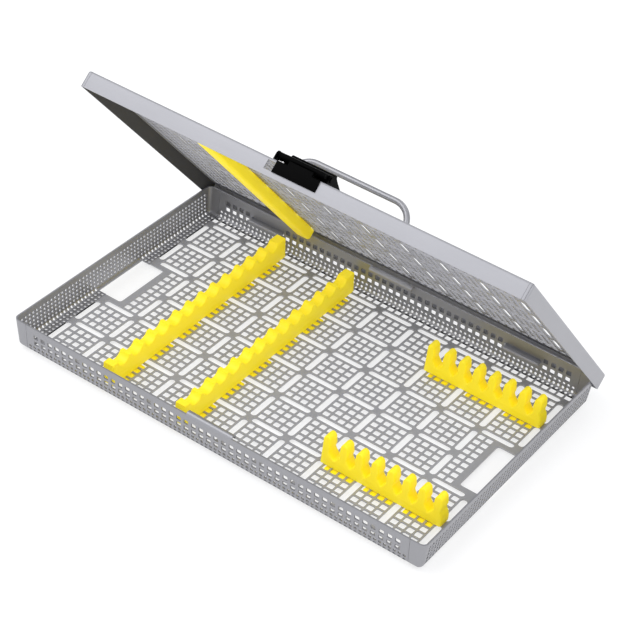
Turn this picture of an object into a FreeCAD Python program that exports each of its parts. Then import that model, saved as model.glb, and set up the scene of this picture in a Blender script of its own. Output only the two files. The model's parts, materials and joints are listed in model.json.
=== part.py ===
import FreeCAD, Part
import math
import os

# Perforated instrument tray with a hinged, latched lid and silicone holding bars.
# Millimetres. The tray is drawn round its own middle, with the table at height 0, and the
# lid is drawn shut; the lid is then swung open about its hinge line to the rest pose.

V = FreeCAD.Vector
X_AXIS = V(1, 0, 0)

# Sheet steel of the tray and lid
sheet = 0.9
bend_inside = 2.0
bend_outside = bend_inside + sheet

# Tray, measured outside at its rim
tray_length = 272.0
tray_width = 174.0
tray_depth = 17.8
wall_lean = 1.5
tray_corner = 3.6
end_flap = 9.0
floor_inset = 0.05

# Silicone feet that hang below the floor and carry the tray
foot_thickness = 1.6
foot_width = 12.5
foot_length = 17.5

# Punched pattern: square cells with a slot on each side and square windows inside
cell = 25.0
edge_margin = 20.0
slot_width = 3.5
slot_length = 20.0
windows_per_cell_side = 1
hole_pitch = 5.0
hole_side = 3.5
floor_seam_from_slot = 0.45

# Finger openings at both ends of the floor
finger_width = 39.5
finger_from_end = 20.0
finger_outer_gap = 2.2

# Windows in the walls
wall_window = 13.5
wall_window_pitch = 15.0
wall_window_low = 2.1
wall_window_height = 6.4
wall_plain_end = 12.0
end_window_width = 6.4
end_window_pitch = 9.9
end_window_top_band = 2.5

# Rolled lip in the middle of the front and rear rims
lip_width = 30.0
lip_radius = 2.2
lip_rise = 1.0

# Lid, drawn shut
lid_side_gap = 0.9
lid_front_gap = 0.6
lid_rear_gap = 1.3
lid_seat_gap = 0.3
lid_flange = 9.5
lid_bend_outside = 1.4
lid_corner = 1.6
panel_edge = 0.8
lid_end_margin = 3.0
seam_from_corner = 2.4
seam_gap = 0.15
lid_open_angle = 48.0

# Hinge: steel tongues on the lid pass through slots in the rear wall
hinge_height = 12.2
hinge_slot_length = 25.0
hinge_slot_height = 3.4
hinge_from_end = 45.7
tongue_play = 0.5
tongue_sheet = 0.8
tongue_reach = 3.8
tongue_upturn = 1.5
tongue_upturn_angle = 60.0
tongue_weld_height = 4.3

# Wire handle on the lid
wire_diameter = 3.5
handle_feet_half = 37.5
handle_height = 18.0
handle_bend = 12.0
handle_y = -25.0

# Latch in the middle of the lid's front
latch_half = 13.5
latch_pin_back = 7.0
latch_pin_height = 3.6
pin_diameter = 2.0
pin_play = 0.04
pin_head_radius = 1.6
pin_head_thickness = 0.7
bracket_sheet = 0.8
bracket_left_room = 4.6
ear_play = 0.3
ear_radius = 2.4
hub_radius = 2.6
rib_radius = 1.6
rib_front_reach = 5.0
rib_front_rise = 1.5
rib_back_reach = 5.5
rib_back_rise = 5.6
lever_tail = 22.0
lever_tail_thickness = 0.9
lever_under = 2.4
rib_shelf = 4.0
rib_step = 1.0
hook_width = 10.0
hook_sheet = 1.0
hook_toe = 2.0
hook_gap = 0.35
hook_slot_play = 0.6
hook_swing_room = 1.8
plate_height = 4.4
plate_below_top = 1.2
plate_proud = 0.9
window_left_room = 5.0
spring_wire = 0.6
spring_radius = 1.9
spring_turns = 2.5
spring_pitch = 1.0

# Silicone bars
bar_width = 8.0
bar_top_width = 6.8
neck_play = 0.25
long_bar_length = 158.0
long_bar_height = 13.5
long_bar_valley = 3.6
long_bar_bumps = 14
bump_land = 2.2
front_land = 4.8
rear_land = 8.0
long_bar_lines = (-3, -1)
short_bar_from_end = 10.0
short_bar_length = 76.0
short_bar_base = 5.6
short_bar_height = 19.0
finger_pitch = 9.8
finger_root = 7.0
finger_tip = 3.2
finger_neck = 4.4
finger_neck_height = 8.2
finger_bulge = 5.4
finger_bulge_height = 12.5
finger_flat = 0.4
short_bar_rows = (2, -2)
lid_bar_x = -62.5
lid_bar_width = 10.0
lid_bar_depth = 7.0
lid_bar_length = 156.0
lid_bar_round = 2.0

# Heights worked out from the sizes above
floor_under = foot_thickness
floor_top = floor_under + sheet
rim = floor_top + tray_depth
lip_top = rim + lip_rise
lid_under = lip_top + lid_seat_gap
lid_top = lid_under + sheet
lid_low = lid_top - lid_flange

# Places along the tray worked out from its length
quarter_turn = 90
finger_inner = tray_length / 2 - finger_from_end
hinge_from_middle = tray_length / 2 - hinge_from_end
short_bar_start = tray_length / 2 - short_bar_from_end - short_bar_length
finger_count = int((short_bar_length - finger_root) // finger_pitch) + 1


def wall_half(half_at_rim, height):
    """Half width of the tray's outside at a height: the walls lean in towards the floor."""
    return half_at_rim - wall_lean * (rim - height) / (rim - floor_under)


# Half sizes of the tray's bottom and of its flat floor plate
bottom_half_x = wall_half(tray_length / 2, floor_under)
bottom_half_y = wall_half(tray_width / 2, floor_under)
floor_half_x = bottom_half_x - bend_outside - floor_inset
floor_half_y = bottom_half_y - bend_outside - floor_inset
flap_line = tray_length / 2 - end_flap

# Lid faces when it is shut
lid_half_x = tray_length / 2 + lid_side_gap + sheet
lid_front = -(tray_width / 2 + lid_front_gap + sheet)
lid_rear = tray_width / 2 + lid_rear_gap + sheet
lid_seam_x = lid_half_x - seam_from_corner

# The hinge line lies in the middle of the rear wall's sheet
hinge_y = wall_half(tray_width / 2, hinge_height) - sheet / 2

# The front of the tray and the lid's rear bend bound the part from front to back at rest
open_turn = math.radians(lid_open_angle)
rear_bend_y = lid_rear - lid_bend_outside - hinge_y
rear_bend_z = lid_top - lid_bend_outside - hinge_height
rear_reach = (hinge_y + rear_bend_y * math.cos(open_turn) + rear_bend_z * math.sin(open_turn)
              + lid_bend_outside)
middle_shift = -(rear_reach - tray_width / 2) / 2


def box(x0, x1, y0, y1, z0, z1):
    """A block between two corners."""
    return Part.makeBox(x1 - x0, y1 - y0, z1 - z0, V(x0, y0, z0))


def rectangle(x0, x1, y0, y1, z):
    """A closed wire round a rectangle at height z."""
    return Part.makePolygon([V(x0, y0, z), V(x1, y0, z), V(x1, y1, z), V(x0, y1, z), V(x0, y0, z)])


def drafted_block(half_x, half_y, radius, low, high, lean_low):
    """A block with round upright corners whose sides lean in by lean_low at its bottom."""
    corners = ((1, 1), (-1, 1), (-1, -1), (1, -1))
    lower = [V(x * (half_x - lean_low), y * (half_y - lean_low), low) for x, y in corners]
    upper = [V(x * half_x, y * half_y, high) for x, y in corners]
    loops = [lower[::-1], upper]
    for index in range(len(corners)):
        after = (index + 1) % len(corners)
        loops.append([lower[index], lower[after], upper[after], upper[index]])
    faces = [Part.Face(Part.makePolygon(loop + loop[:1])) for loop in loops]
    block = Part.Solid(Part.Shell(faces))
    upright = [edge for edge in block.Edges if edge.BoundBox.ZLength > (high - low) / 2]
    return block.makeFillet(radius, upright)


def fillet_at_height(solid, height, radius):
    """Round the edges that lie at one height."""
    edges = [edge for edge in solid.Edges
             if abs(edge.BoundBox.ZMin - height) < 1e-6 and abs(edge.BoundBox.ZMax - height) < 1e-6]
    return solid.makeFillet(radius, edges)


def swung(shape):
    """Turn a piece of the shut lid to the rest pose, about the hinge line."""
    turned = shape.copy()
    turned.rotate(V(0, hinge_y, hinge_height), X_AXIS, -lid_open_angle)
    return turned


def save(name, shape):
    """Write one node, moved so that the origin is under the middle of the whole part."""
    placed = shape.copy()
    placed.translate(V(0, middle_shift, 0))
    placed.exportStep("parts/" + name + ".step")


def strip(points, thickness, x0, x1):
    """A bent strip of sheet: a line of (y, z) points, given its thickness to both sides."""
    left = []
    right = []
    count = len(points)
    for index in range(count):
        before = points[max(index - 1, 0)]
        here = points[index]
        after = points[min(index + 1, count - 1)]
        normals = []
        for start, end in ((before, here), (here, after)):
            length = math.hypot(end[0] - start[0], end[1] - start[1])
            if length > 0:
                normals.append((-(end[1] - start[1]) / length, (end[0] - start[0]) / length))
        mean_y = sum(normal[0] for normal in normals) / len(normals)
        mean_z = sum(normal[1] for normal in normals) / len(normals)
        scale = thickness / 2 / (mean_y ** 2 + mean_z ** 2)
        left.append(V(x0, here[0] + mean_y * scale, here[1] + mean_z * scale))
        right.append(V(x0, here[0] - mean_y * scale, here[1] - mean_z * scale))
    outline = left + right[::-1]
    face = Part.Face(Part.makePolygon(outline + outline[:1]))
    return face.extrude(V(x1 - x0, 0, 0))


def plate_with_holes(x0, x1, y0, y1, z, thickness, holes):
    """A flat plate with rectangular holes, each given by its middle and size."""
    wires = [rectangle(x0, x1, y0, y1, z)]
    for middle_x, middle_y, size_x, size_y in holes:
        wires.append(rectangle(middle_x - size_x / 2, middle_x + size_x / 2,
                               middle_y - size_y / 2, middle_y + size_y / 2, z))
    return Part.makeFace(wires, "Part::FaceMakerBullseye").extrude(V(0, 0, thickness))


def slot_holes(lines_x, lines_y):
    """Slots on the sides of the cells between the given lines."""
    holes = []
    for line in lines_x:
        for start in lines_y[:-1]:
            holes.append((line, start + cell / 2, slot_width, slot_length))
    for line in lines_y:
        for start in lines_x[:-1]:
            holes.append((start + cell / 2, line, slot_length, slot_width))
    return holes


def window_holes(cell_starts_x, cell_starts_y, per_side):
    """Square windows inside each cell, each as wide as the group of small holes it stands for."""
    columns = round(cell / hole_pitch) - 1
    group = columns // per_side
    side = (group - 1) * hole_pitch + hole_side
    places = [hole_pitch * (1 + group * index + (group - 1) / 2) for index in range(per_side)]
    return [(start_x + place_x, start_y + place_y, side, side)
            for start_x in cell_starts_x for start_y in cell_starts_y
            for place_x in places for place_y in places]


def even_cells(room):
    """How many cells fit in a width, as an even number so that a line runs down the middle."""
    return 2 * int((room - edge_margin) // (2 * cell))


def lines(count):
    """Evenly spaced cell lines round the middle."""
    return [cell * (index - (count - 1) / 2) for index in range(count)]


tray_lines_x = lines(even_cells(tray_length) + 1)
lines_y = lines(even_cells(tray_width) + 1)
lid_lines_x = lines(even_cells(tray_length))
y_slot_middles = [line + cell / 2 for line in lines_y[:-1]]


def clear_of_fingers(hole):
    """Whether a hole of the floor lies clear of the two finger openings."""
    middle_x, middle_y, size_x, size_y = hole
    outside_x = abs(middle_x) + size_x / 2 < finger_inner - 1.0
    outside_y = abs(middle_y) - size_y / 2 > finger_width / 2 + 0.5
    return outside_x or outside_y


# Tray shell: a leaning pan with rounded corners and foot
pan_outside = fillet_at_height(
    drafted_block(tray_length / 2, tray_width / 2, tray_corner, floor_under, rim, wall_lean),
    floor_under, bend_outside)
inner_rise = (rim - floor_top) / (rim - floor_under)
pan_inside = fillet_at_height(
    drafted_block(tray_length / 2 - sheet, tray_width / 2 - sheet, tray_corner - sheet,
                  floor_top, rim, wall_lean * inner_rise),
    floor_top, bend_inside)
pan = pan_outside.cut(pan_inside)
floor_space = box(-floor_half_x, floor_half_x, -floor_half_y, floor_half_y, -1, floor_top + 0.01)
walls = pan.cut(floor_space)
finger_outer = bottom_half_x - finger_outer_gap
finger_cuts = [box(side * (finger_inner if side > 0 else finger_outer),
                   side * (finger_outer if side > 0 else finger_inner),
                   -finger_width / 2, finger_width / 2, 0, floor_top + bend_inside / 2)
               for side in (1, -1)]


def make_floor():
    """The flat floor with its slots, windows and finger openings, as a middle and two ends."""
    holes = slot_holes(tray_lines_x, lines_y)
    holes += window_holes(tray_lines_x[:-1], lines_y[:-1], windows_per_cell_side)
    holes = [hole for hole in holes if clear_of_fingers(hole)]
    plate = plate_with_holes(-floor_half_x, floor_half_x, -floor_half_y, floor_half_y,
                             floor_under, sheet, holes)
    plate = plate.cut(Part.makeCompound(finger_cuts))
    seam = tray_lines_x[-2] + slot_width / 2 + floor_seam_from_slot
    places = {"tray_floor": (-seam, seam), "tray_floor_left": (-tray_length, -seam),
              "tray_floor_right": (seam, tray_length)}
    return {name: plate.common(box(x0, x1, -tray_width, tray_width, 0, rim))
            for name, (x0, x1) in places.items()}


def make_end_wall(side):
    """An end wall with its two flaps round the corners and windows in its upright part."""
    x0, x1 = (flap_line, tray_length) if side > 0 else (-tray_length, -flap_line)
    wall = walls.common(box(x0, x1, -tray_width, tray_width, 0, rim + 1))
    cuts = [finger_cuts[0 if side > 0 else 1]]
    count = int((tray_width - 2 * wall_plain_end) // end_window_pitch)
    low = floor_top + bend_inside
    inner_face = tray_length / 2 - wall_lean - bend_outside
    left, right = sorted((side * inner_face, side * (tray_length / 2 + 1)))
    for index in range(count):
        middle = (index - (count - 1) / 2) * end_window_pitch
        cuts.append(box(left, right, middle - end_window_width / 2, middle + end_window_width / 2,
                        low, rim - end_window_top_band))
    return wall.cut(Part.makeCompound(cuts))


def lip_profile():
    """The section of the rolled lip, drawn for the front wall in (y, z)."""
    middle_y = -tray_width / 2 + lip_radius
    middle_z = lip_top - lip_radius
    inner = lip_radius - sheet
    start = math.radians(185)
    end = math.radians(-25)
    half_way = (start + end) / 2

    def point(radius, angle):
        return V(-lip_width / 2, middle_y + radius * math.cos(angle),
                 middle_z + radius * math.sin(angle))

    outer_arc = Part.Arc(point(lip_radius, start), point(lip_radius, half_way),
                         point(lip_radius, end)).toShape()
    inner_arc = Part.Arc(point(inner, end), point(inner, half_way), point(inner, start)).toShape()
    ends = [Part.makeLine(point(lip_radius, end), point(inner, end)),
            Part.makeLine(point(inner, start), point(lip_radius, start))]
    return Part.Face(Part.Wire([outer_arc, ends[0], inner_arc, ends[1]]))


def make_long_wall(side):
    """The front or rear wall between the end flaps, with its rolled lip and windows."""
    y0, y1 = (0, tray_width) if side > 0 else (-tray_width, 0)
    wall = walls.common(box(-flap_line, flap_line, y0, y1, 0, rim + 1))
    lip = lip_profile().extrude(V(lip_width, 0, 0))
    if side > 0:
        lip = lip.mirror(V(0, 0, 0), V(0, 1, 0))
    wall = wall.fuse(lip).removeSplitter()
    cuts = []
    count = int((2 * flap_line - wall_window_pitch) // wall_window_pitch)
    low = floor_top + wall_window_low
    for index in range(count):
        middle = (index - (count - 1) / 2) * wall_window_pitch
        cuts.append(box(middle - wall_window / 2, middle + wall_window / 2,
                        y0 if side < 0 else tray_width / 2 - bend_outside,
                        y1 if side > 0 else -tray_width / 2 + bend_outside,
                        low, low + wall_window_height))
    if side > 0:
        for place in (-1, 1):
            cuts.append(box(place * hinge_from_middle - hinge_slot_length / 2,
                            place * hinge_from_middle + hinge_slot_length / 2,
                            tray_width / 2 - bend_outside, tray_width,
                            hinge_height - hinge_slot_height / 2,
                            hinge_height + hinge_slot_height / 2))
    return wall.cut(Part.makeCompound(cuts))


# Lid shell, shut: a shallow pan upside down
lid_middle_y = (lid_front + lid_rear) / 2
lid_half_y = (lid_rear - lid_front) / 2


def lid_block(inset, corner, low, high, bend):
    """A block of the lid's outline with its top edges rounded."""
    block = drafted_block(lid_half_x - inset, lid_half_y - inset, corner, low, high, 0)
    block = fillet_at_height(block, high, bend)
    block.translate(V(0, lid_middle_y, 0))
    return block


lid_pan = lid_block(0, lid_corner, lid_low, lid_top, lid_bend_outside).cut(
    lid_block(sheet, lid_corner - sheet, lid_low - 1, lid_under, lid_bend_outside - sheet))
panel_inset = lid_bend_outside + panel_edge
panel_x = lid_half_x - panel_inset
panel_front = lid_front + panel_inset
panel_rear = lid_rear - panel_inset
lid_flanges = lid_pan.cut(box(-panel_x, panel_x, panel_front, panel_rear, lid_under - 0.01, lid_top + 1))

# Places of the latch on the shut lid
pin_y = lid_front + latch_pin_back
pin_z = lid_top + latch_pin_height
hook_slot = box(-hook_width / 2 - hook_slot_play, hook_width / 2 + hook_slot_play,
                pin_y - hook_sheet / 2 - hook_toe - hook_slot_play,
                pin_y + hook_sheet / 2 + hook_swing_room, lid_under - 1, lid_top + 2)
plate_low = lid_top - plate_below_top - plate_height
flange_window = box(-latch_half - window_left_room, latch_half, lid_front - 1,
                    lid_front + sheet + 0.5, plate_low, plate_low + plate_height)


def make_lid_panel():
    """The flat top of the lid with its slots, windows and the slot for the latch's hook."""
    holes = slot_holes(lid_lines_x, lines_y)
    holes += window_holes(lid_lines_x[:-1], lines_y[:-1], windows_per_cell_side)
    group = holes[-1][3]
    edge = lid_lines_x[-1] + (cell - group) / 2
    wide = panel_x - lid_end_margin - edge
    for side in (-1, 1):
        holes += [(side * (edge + wide / 2), middle, wide, group) for middle in y_slot_middles]
    panel = plate_with_holes(-panel_x, panel_x, panel_front, panel_rear, lid_under, sheet, holes)
    return panel.cut(hook_slot)


def make_lid_flange(name):
    """One of the lid's four turned-down sides, cut from the pan at the corner seams."""
    big = tray_length
    places = {
        "front": box(-lid_seam_x + seam_gap, lid_seam_x - seam_gap, -big, 0, 0, big),
        "rear": box(-lid_seam_x + seam_gap, lid_seam_x - seam_gap, 0, big, 0, big),
        "left": box(-big, -lid_seam_x, -big, big, 0, big),
        "right": box(lid_seam_x, big, -big, big, 0, big),
    }
    flange = lid_flanges.common(places[name])
    if name == "front":
        flange = flange.cut(flange_window)
    return flange


def make_hinge_tongue(place):
    """A bent steel tongue welded inside the rear flange, reaching through the wall's slot."""
    weld_y = lid_rear - sheet - tongue_sheet / 2
    run = weld_y - hinge_y
    knee_z = hinge_height + run * math.tan(open_turn)
    tip = (hinge_y - tongue_reach * math.cos(open_turn),
           hinge_height - tongue_reach * math.sin(open_turn))
    up = open_turn - math.radians(tongue_upturn_angle)
    end = (tip[0] - tongue_upturn * math.cos(up), tip[1] - tongue_upturn * math.sin(up))
    half = hinge_slot_length / 2 - tongue_play
    return strip([(weld_y, knee_z + tongue_weld_height), (weld_y, knee_z), tip, end],
                 tongue_sheet, place * hinge_from_middle - half, place * hinge_from_middle + half)


def make_handle():
    """A round wire bent to a U that stands on the lid: two legs, two bends and a grip."""
    radius = wire_diameter / 2
    top = lid_top + handle_height
    bend_z = top - handle_bend
    inner = handle_feet_half - handle_bend
    pieces = [Part.makeCylinder(radius, 2 * inner, V(-inner, handle_y, top), X_AXIS)]
    for side in (-1, 1):
        foot = V(side * handle_feet_half, handle_y, lid_top)
        knee = V(side * handle_feet_half, handle_y, bend_z)
        pieces.append(Part.makeCylinder(radius, bend_z - lid_top, foot))
        section = Part.Face(Part.Wire([Part.makeCircle(radius, knee)]))
        pieces.append(section.revolve(V(side * inner, handle_y, bend_z), V(0, 1, 0),
                                      -quarter_turn * side))
    return pieces[0].fuse(pieces[1:]).removeSplitter()


# Ears of the latch bracket: the left one leaves room for the spring
left_ear = -latch_half - bracket_left_room
right_ear = latch_half + ear_play
bracket_front = pin_y - ear_radius
bracket_back = pin_y + ear_radius


def ear(x0):
    """An upright ear with a round top and a hole for the pin."""
    plate = box(x0, x0 + bracket_sheet, bracket_front, bracket_back, lid_top, pin_z)
    top = Part.makeCylinder(ear_radius, bracket_sheet, V(x0, pin_y, pin_z), X_AXIS)
    hole = Part.makeCylinder(pin_diameter / 2 + pin_play, bracket_sheet + 2,
                             V(x0 - 1, pin_y, pin_z), X_AXIS)
    return plate.fuse(top).cut(hole)


def make_latch_bracket():
    """The steel bracket welded on the lid that holds the latch pin."""
    base = box(left_ear - bracket_sheet, right_ear + bracket_sheet, bracket_front, bracket_back,
               lid_top, lid_top + bracket_sheet)
    base = base.cut(hook_slot)
    return base.fuse([ear(left_ear - bracket_sheet), ear(right_ear)]).removeSplitter()


def make_latch_plate():
    """The black plate that fills the window in the lid's front flange."""
    plate = box(-latch_half, latch_half, lid_front - plate_proud, lid_front + sheet,
                plate_low, plate_low + plate_height)
    edges = [edge for edge in plate.Edges if edge.BoundBox.YMax < lid_front - plate_proud + 0.01]
    return plate.makeFillet(0.5, edges)


def lever_outline():
    """Side view of the lever round its pin, as closed wires in (y, z)."""
    low = -lever_under
    points = [(-rib_front_reach, rib_front_rise), (rib_back_reach, rib_back_rise),
              (rib_back_reach + rib_shelf, rib_back_rise - rib_step),
              (lever_tail, low + lever_tail_thickness), (lever_tail, low), (0, low),
              (-rib_front_reach, rib_front_rise - rib_step)]
    corners = [V(-latch_half, pin_y + y, pin_z + z) for y, z in points]
    return Part.makePolygon(corners + corners[:1])


def make_latch_lever():
    """The black lever: a wedge on a round hub, with two thumb ribs across it."""
    width = V(2 * latch_half, 0, 0)
    body = Part.Face(lever_outline()).extrude(width)
    rounds = [(0, 0, hub_radius), (-rib_front_reach, rib_front_rise, rib_radius),
              (rib_back_reach, rib_back_rise, rib_radius)]
    cylinders = [Part.makeCylinder(radius, 2 * latch_half, V(-latch_half, pin_y + y, pin_z + z), X_AXIS)
                 for y, z, radius in rounds]
    lever = body.fuse(cylinders).removeSplitter()
    bore = Part.makeCylinder(pin_diameter / 2 + pin_play, 2 * latch_half + 2,
                             V(-latch_half - 1, pin_y, pin_z), X_AXIS)
    return lever.cut(bore)


toe_top = lip_top - lip_radius - lip_radius * math.sin(math.radians(25)) - hook_gap


def make_latch_hook():
    """The steel hook under the lever, with its toe below the tray's rolled lip."""
    reach = pin_y - hook_toe
    line = [(pin_y, pin_z - hub_radius), (pin_y, toe_top - hook_sheet / 2),
            (reach, toe_top - hook_sheet / 2)]
    hook = strip(line, hook_sheet, -hook_width / 2, hook_width / 2)
    hub = Part.makeCylinder(hub_radius, hook_width, V(-hook_width / 2, pin_y, pin_z), X_AXIS)
    return hook.cut(hub)


def make_latch_pin():
    """The pin that the lever rocks on, with a head outside the right ear."""
    start = left_ear - bracket_sheet
    end = right_ear + bracket_sheet
    shank = Part.makeCylinder(pin_diameter / 2, end - start, V(start, pin_y, pin_z), X_AXIS)
    head = Part.makeCylinder(pin_head_radius, pin_head_thickness, V(end, pin_y, pin_z), X_AXIS)
    return shank.fuse(head).removeSplitter()


def make_latch_spring():
    """A torsion spring wound round the pin beside the lever."""
    turns = Part.makeHelix(spring_pitch, spring_pitch * spring_turns, spring_radius)
    half = spring_wire / 2
    corners = ((-half, -half), (half, -half), (half, half), (-half, half))
    section = [V(spring_radius + x, 0, z) for x, z in corners]
    coil = Part.Wire(turns).makePipeShell([Part.makePolygon(section + section[:1])], True, True)
    coil.rotate(V(0, 0, 0), V(0, 1, 0), 90)
    coil.translate(V(left_ear + spring_wire / 2 + 0.3, pin_y, pin_z))
    return coil


def feet(middles, along_y, top, under):
    """Necks through the slots and the flat pads beyond them."""
    pieces = []
    neck = slot_width / 2 - neck_play
    reach = foot_length / 2
    wide = foot_width / 2
    low, high = (under - foot_thickness, under) if under < top else (under, under + foot_thickness)
    neck_low, neck_high = min(under, top), max(under, top)
    for x, y in middles:
        if along_y:
            pieces.append(box(x - neck, x + neck, y - reach, y + reach, neck_low, neck_high))
            pieces.append(box(x - wide, x + wide, y - reach, y + reach, low, high))
        else:
            pieces.append(box(x - reach, x + reach, y - neck, y + neck, neck_low, neck_high))
            pieces.append(box(x - reach, x + reach, y - wide, y + wide, low, high))
    return pieces


def taper_section(low, top):
    """The section of a bar, wide at the floor and narrower at its top, as a face in (x, z)."""
    corners = [V(-bar_width / 2, 0, low), V(bar_width / 2, 0, low), V(bar_top_width / 2, 0, top),
               V(-bar_top_width / 2, 0, top)]
    return Part.Face(Part.makePolygon(corners + corners[:1]))


def make_long_bar(line):
    """A scalloped bar from front to rear: humps with round hollows between them."""
    x = line * cell
    half = long_bar_length / 2
    top = floor_top + long_bar_height
    pitch = (long_bar_length - front_land - rear_land + bump_land) / (long_bar_bumps - 1)
    hollow = pitch - bump_land
    lands = [front_land] + [bump_land] * (long_bar_bumps - 2) + [rear_land]
    edges = []
    here = V(x - bar_width / 2, -half, top)
    first = here
    for index, length in enumerate(lands):
        land = V(here.x, here.y + length, top)
        edges.append(Part.makeLine(here, land))
        here = land
        if index < len(lands) - 1:
            after = V(here.x, here.y + hollow, top)
            lowest = V(here.x, here.y + hollow / 2, top - long_bar_valley)
            edges.append(Part.Arc(here, lowest, after).toShape())
            here = after
    low_rear = V(here.x, here.y, floor_top)
    low_front = V(first.x, first.y, floor_top)
    edges += [Part.makeLine(here, low_rear), Part.makeLine(low_rear, low_front),
              Part.makeLine(low_front, first)]
    body = Part.Face(Part.Wire(edges)).extrude(V(bar_width, 0, 0))
    section = taper_section(floor_top, top)
    section.translate(V(x, -half, 0))
    body = body.common(section.extrude(V(0, long_bar_length, 0)))
    middles = [(x, y) for y in y_slot_middles]
    return body.fuse(feet(middles, True, floor_top, floor_under)).removeSplitter()


def make_short_bar(row):
    """A comb bar along the tray: fingers with a neck, a bulge and a round tip on a low base."""
    y = row * cell
    x = short_bar_start
    top = floor_top + short_bar_height
    front = y - bar_width / 2
    radius = finger_tip / 2
    steps = ((finger_pitch / 2 - finger_flat, short_bar_base), (finger_neck / 2, finger_neck_height),
             (finger_bulge / 2, finger_bulge_height), (radius, short_bar_height - radius))
    edges = []
    here = V(x, front, floor_top)
    first = here
    for index in range(finger_count):
        middle = x + finger_root / 2 + index * finger_pitch
        rising = [V(max(middle - half, x), front, floor_top + height) for half, height in steps]
        falling = [V(min(middle + half, x + short_bar_length), front, floor_top + height)
                   for half, height in reversed(steps)]
        for before, after in zip([here] + rising[:-1], rising):
            edges.append(Part.makeLine(before, after))
        edges.append(Part.Arc(rising[-1], V(middle, front, top), falling[0]).toShape())
        for before, after in zip(falling[:-1], falling[1:]):
            edges.append(Part.makeLine(before, after))
        here = falling[-1]
    low_far = V(x + short_bar_length, front, floor_top)
    edges += [Part.makeLine(here, low_far), Part.makeLine(low_far, first)]
    body = Part.Face(Part.Wire(edges)).extrude(V(0, bar_width, 0))
    section = taper_section(floor_top, top)
    section.rotate(V(0, 0, 0), V(0, 0, 1), quarter_turn)
    section.translate(V(x, y, 0))
    body = body.common(section.extrude(V(short_bar_length, 0, 0)))
    middles = [(line + cell / 2, y) for line in tray_lines_x[:-1]
               if line >= x and line + cell / 2 + foot_length / 2 <= x + short_bar_length]
    return body.fuse(feet(middles, False, floor_top, floor_under)).removeSplitter()


def make_lid_bar():
    """The plain pressing bar under the lid, held by feet on the lid's outer side."""
    half = lid_bar_width / 2
    long_half = lid_bar_length / 2
    body = box(lid_bar_x - half, lid_bar_x + half, -long_half, long_half,
               lid_under - lid_bar_depth, lid_under)
    edges = [edge for edge in body.Edges
             if edge.BoundBox.YLength > lid_bar_length - 1 and edge.BoundBox.ZMax < lid_under - 1]
    body = body.makeFillet(lid_bar_round, edges)
    middles = [(lid_bar_x, y) for y in y_slot_middles]
    return body.fuse(feet(middles, True, lid_under, lid_top)).removeSplitter()


os.makedirs("parts", exist_ok=True)

for floor_name, floor_piece in make_floor().items():
    save(floor_name, floor_piece)
save("tray_left_wall", make_end_wall(-1))
save("tray_right_wall", make_end_wall(1))
save("tray_front_wall", make_long_wall(-1))
save("tray_rear_wall", make_long_wall(1))
for bar_name, bar_line in zip(("long_bar_left", "long_bar_right"), long_bar_lines):
    save(bar_name, make_long_bar(bar_line))
for bar_name, bar_row in zip(("short_bar_rear", "short_bar_front"), short_bar_rows):
    save(bar_name, make_short_bar(bar_row))

save("lid_panel", swung(make_lid_panel()))
for flange_name in ("front", "rear", "left", "right"):
    save("lid_" + flange_name + "_flange", swung(make_lid_flange(flange_name)))
save("hinge_tongue_left", swung(make_hinge_tongue(-1)))
save("hinge_tongue_right", swung(make_hinge_tongue(1)))
save("lid_handle", swung(make_handle()))
save("lid_bar", swung(make_lid_bar()))
save("latch_bracket", swung(make_latch_bracket()))
save("latch_plate", swung(make_latch_plate()))
save("latch_pin", swung(make_latch_pin()))
save("latch_spring", swung(make_latch_spring()))
save("latch_lever", swung(make_latch_lever()))
save("latch_hook", swung(make_latch_hook()))
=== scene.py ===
import json
import math

import bpy
import numpy as np
from mathutils import Matrix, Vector
from mathutils.geometry import tessellate_polygon


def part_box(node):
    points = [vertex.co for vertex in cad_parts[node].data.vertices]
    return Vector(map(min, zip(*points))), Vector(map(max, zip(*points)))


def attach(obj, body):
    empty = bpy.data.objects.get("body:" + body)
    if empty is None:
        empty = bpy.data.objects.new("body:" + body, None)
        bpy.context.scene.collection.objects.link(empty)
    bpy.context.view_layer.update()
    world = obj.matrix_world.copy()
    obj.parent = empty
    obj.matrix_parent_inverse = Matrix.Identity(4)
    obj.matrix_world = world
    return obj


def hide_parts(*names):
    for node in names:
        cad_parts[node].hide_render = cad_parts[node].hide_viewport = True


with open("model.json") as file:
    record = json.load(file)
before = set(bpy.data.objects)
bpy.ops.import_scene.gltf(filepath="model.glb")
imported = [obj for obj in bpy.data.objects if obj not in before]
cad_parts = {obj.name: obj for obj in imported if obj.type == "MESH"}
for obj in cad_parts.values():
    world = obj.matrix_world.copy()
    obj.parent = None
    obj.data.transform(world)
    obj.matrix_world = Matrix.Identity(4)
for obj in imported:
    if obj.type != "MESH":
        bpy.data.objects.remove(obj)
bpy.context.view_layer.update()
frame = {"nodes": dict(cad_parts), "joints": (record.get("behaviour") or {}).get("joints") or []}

# Tray floor: one sheet of stainless steel, punched on a 25 mm grid. Each cell has a slot on every
# side and sixteen small squares inside, and two finger openings are cut beside the end walls.
# All sizes in this script are millimetres, and MM turns them into Blender's metres.

MM = 0.001
sheet = 0.9
floor_low, floor_high = (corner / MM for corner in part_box("tray_floor"))
tray_y = (floor_low.y + floor_high.y) / 2
cell = 25.0
pitch = 5.0
square = 4.0
square_corner = 0.45
slot_half = 1.95
slot_end = 8.25
floor_reach_x = 126.95
floor_reach_y = 81.95
outer_row = 80.0
finger_inner = 116.0
finger_half = 19.75
finger_tiles = 112.0
finger_corner = 1.5


def rectangle(width, height, corner=0.0):
    """Points round a rectangle in the middle, with its corners cut off at the given distance."""
    w, h, c = width / 2, height / 2, corner
    if not c:
        return [(w, h), (-w, h), (-w, -h), (w, -h)]
    return [(w, h - c), (w - c, h), (c - w, h), (-w, h - c),
            (-w, c - h), (c - w, -h), (w - c, -h), (w, c - h)]


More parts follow.
